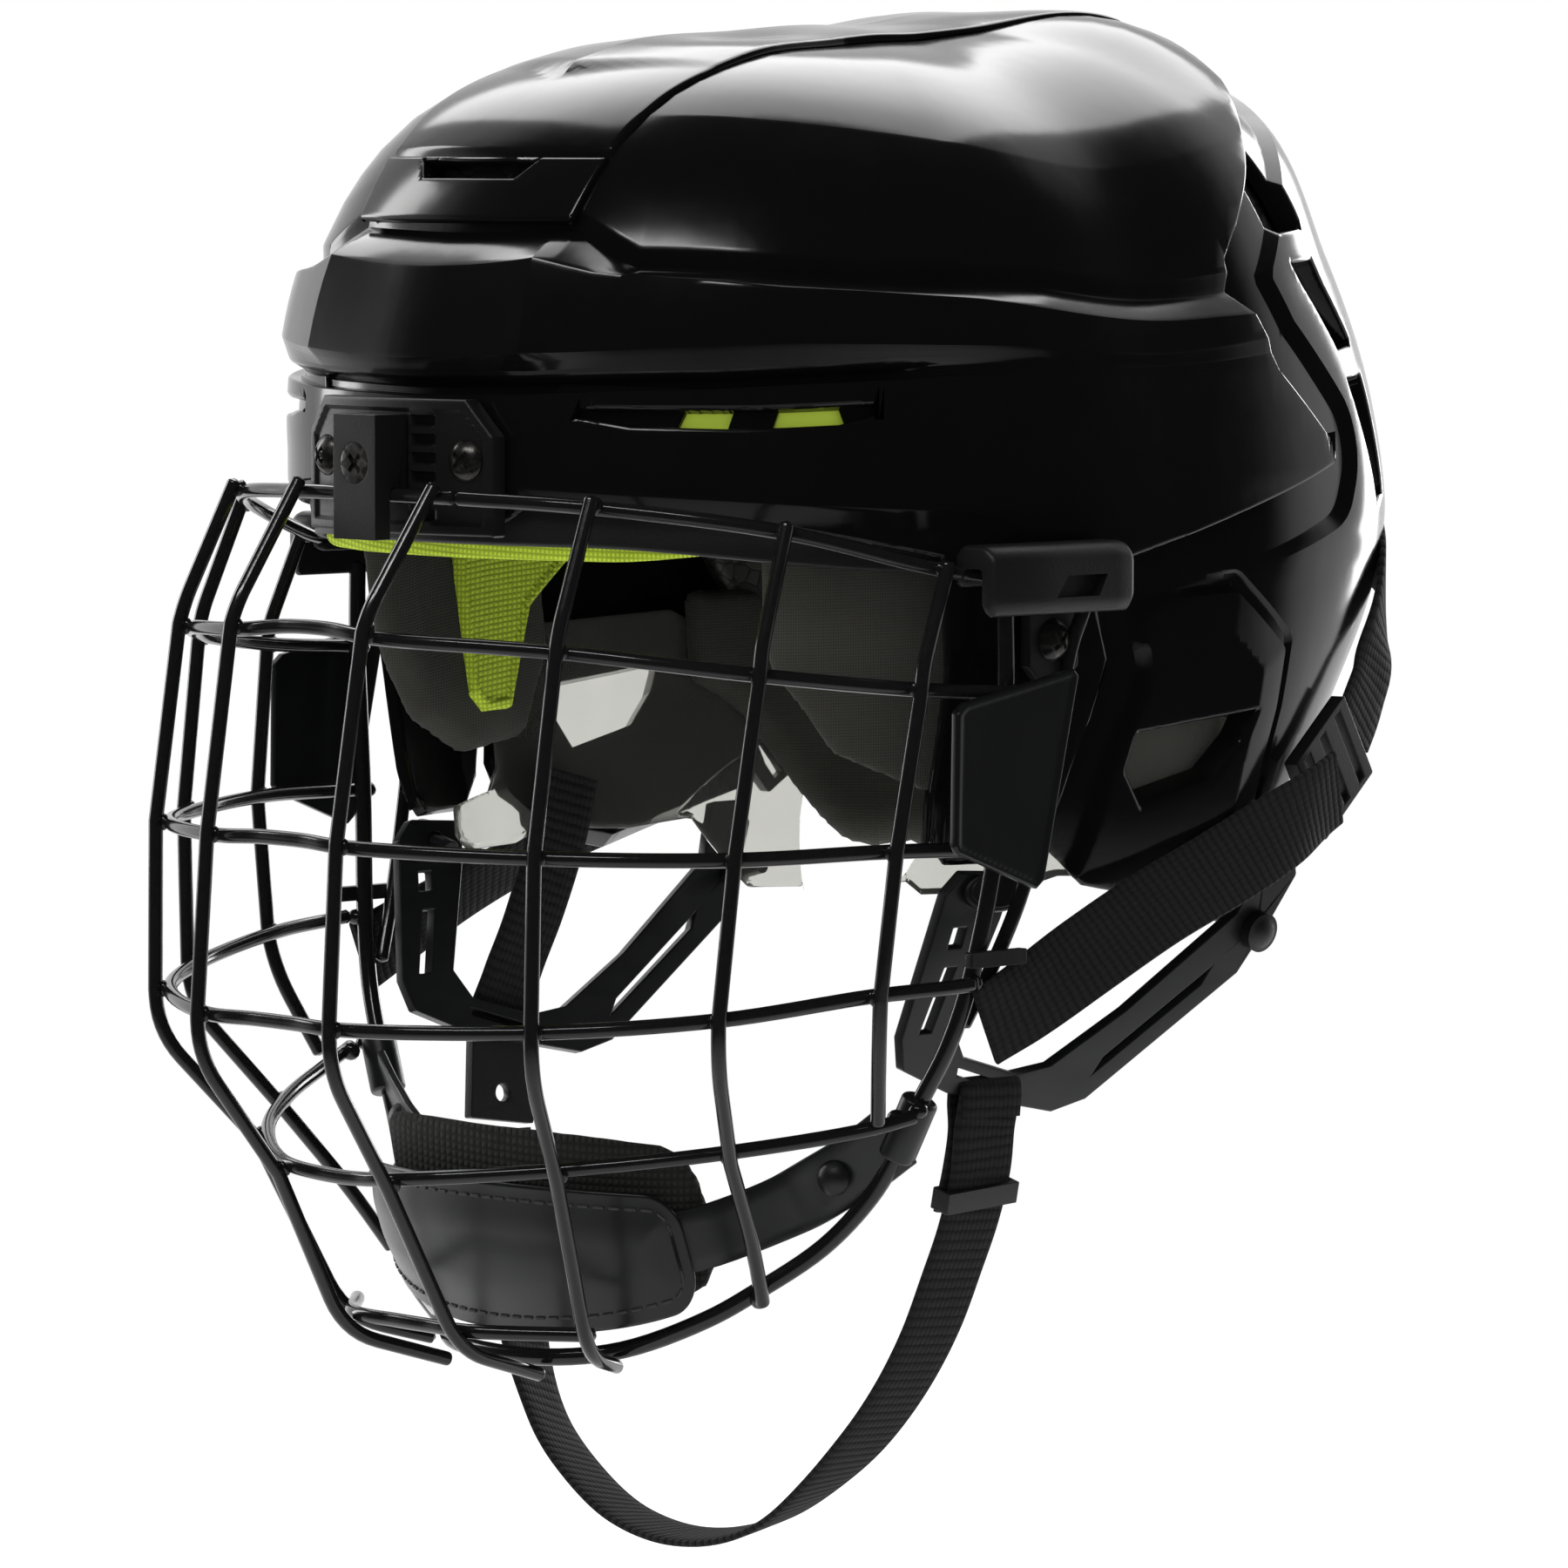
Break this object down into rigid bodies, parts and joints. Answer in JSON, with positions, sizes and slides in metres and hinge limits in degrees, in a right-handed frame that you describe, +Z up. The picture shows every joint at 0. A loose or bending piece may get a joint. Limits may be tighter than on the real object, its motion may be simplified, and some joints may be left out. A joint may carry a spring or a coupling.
{
  "type": "hockey helmet with cage",
  "caption": "Black sport helmet in two shells that slide for size, with a hinged wire face cage, chin cup, ear loops, strap and green vents.",
  "frame": {"origin": "middle of the wearer's head, level with the lower edge of the brow", "axes": "+Z up through the crown, -Y out of the face, +X to the wearer's left"},
  "size_m": [0.2088, 0.2725, 0.3089],
  "materials": {
    "shell": "gloss",
    "green": "satin",
    "green_cloth": "knitted",
    "foam": "foam",
    "trim": "satin",
    "screw": "satin",
    "wire": "gloss",
    "cup_cloth": "woven",
    "webbing": "ribbed webbing",
    "guard": "satin, clear",
    "loop": "satin"
  },
  "bodies": {
    "front": {"front_shell": "shell", "crown_panel": "shell", "nose_panel": "shell", "vent_liners": "green", "front_liner": "foam", "brow_pad": "green_cloth", "temple_pad_left": "foam", "temple_pad_right": "foam", "temple_tab_left": "green_cloth", "temple_tab_right": "green_cloth", "brow_plate": "trim", "brow_screws": "screw", "centre_clip": "trim", "centre_screw": "screw", "side_clip_left": "trim", "side_clip_right": "trim", "side_screws": "screw"},
    "rear": {"rear_shell": "shell", "rear_liner": "foam", "ear_guard_left": "guard", "ear_guard_right": "guard", "ear_loop_left": "loop", "ear_loop_right": "loop", "front_buttons": "trim", "rear_buttons": "trim", "buckle_left": "trim", "buckle_right": "trim", "rear_strap": "webbing", "chin_strap": "webbing", "strap_keeper": "trim", "strap_riser": "webbing", "snap_tab": "trim"},
    "cage": {"hinge_bar": "wire", "top_bar_left": "wire", "top_bar_right": "wire", "bar_2": "wire", "bar_3": "wire", "bar_4": "wire", "bar_5": "wire", "bar_6": "wire", "cage_frame": "wire", "wire_left_1": "wire", "wire_left_2": "wire", "wire_left_3": "wire", "wire_left_4": "wire", "wire_right_1": "wire", "wire_right_2": "wire", "wire_right_3": "wire", "wire_right_4": "wire", "side_plate_left": "trim", "side_plate_right": "trim", "chin_cup_band": "trim", "chin_cup_cover": "cup_cloth", "chin_cup_pad": "cup_cloth", "chin_cup_rivets": "trim", "cage_strap_left": "webbing", "cage_strap_right": "webbing", "strap_clips": "trim"}
  },
  "joints": [
    {"name": "size_slide", "type": "slide", "parent": "front", "child": "rear", "axis": [0, 1, 0], "range_m": [-0.01, 0]},
    {"name": "cage_hinge", "type": "hinge", "parent": "front", "child": "cage", "pos_m": [0, -0.1215, 0.0155], "axis": [-1, 0, 0], "range_deg": [0, 60]}
  ]
}
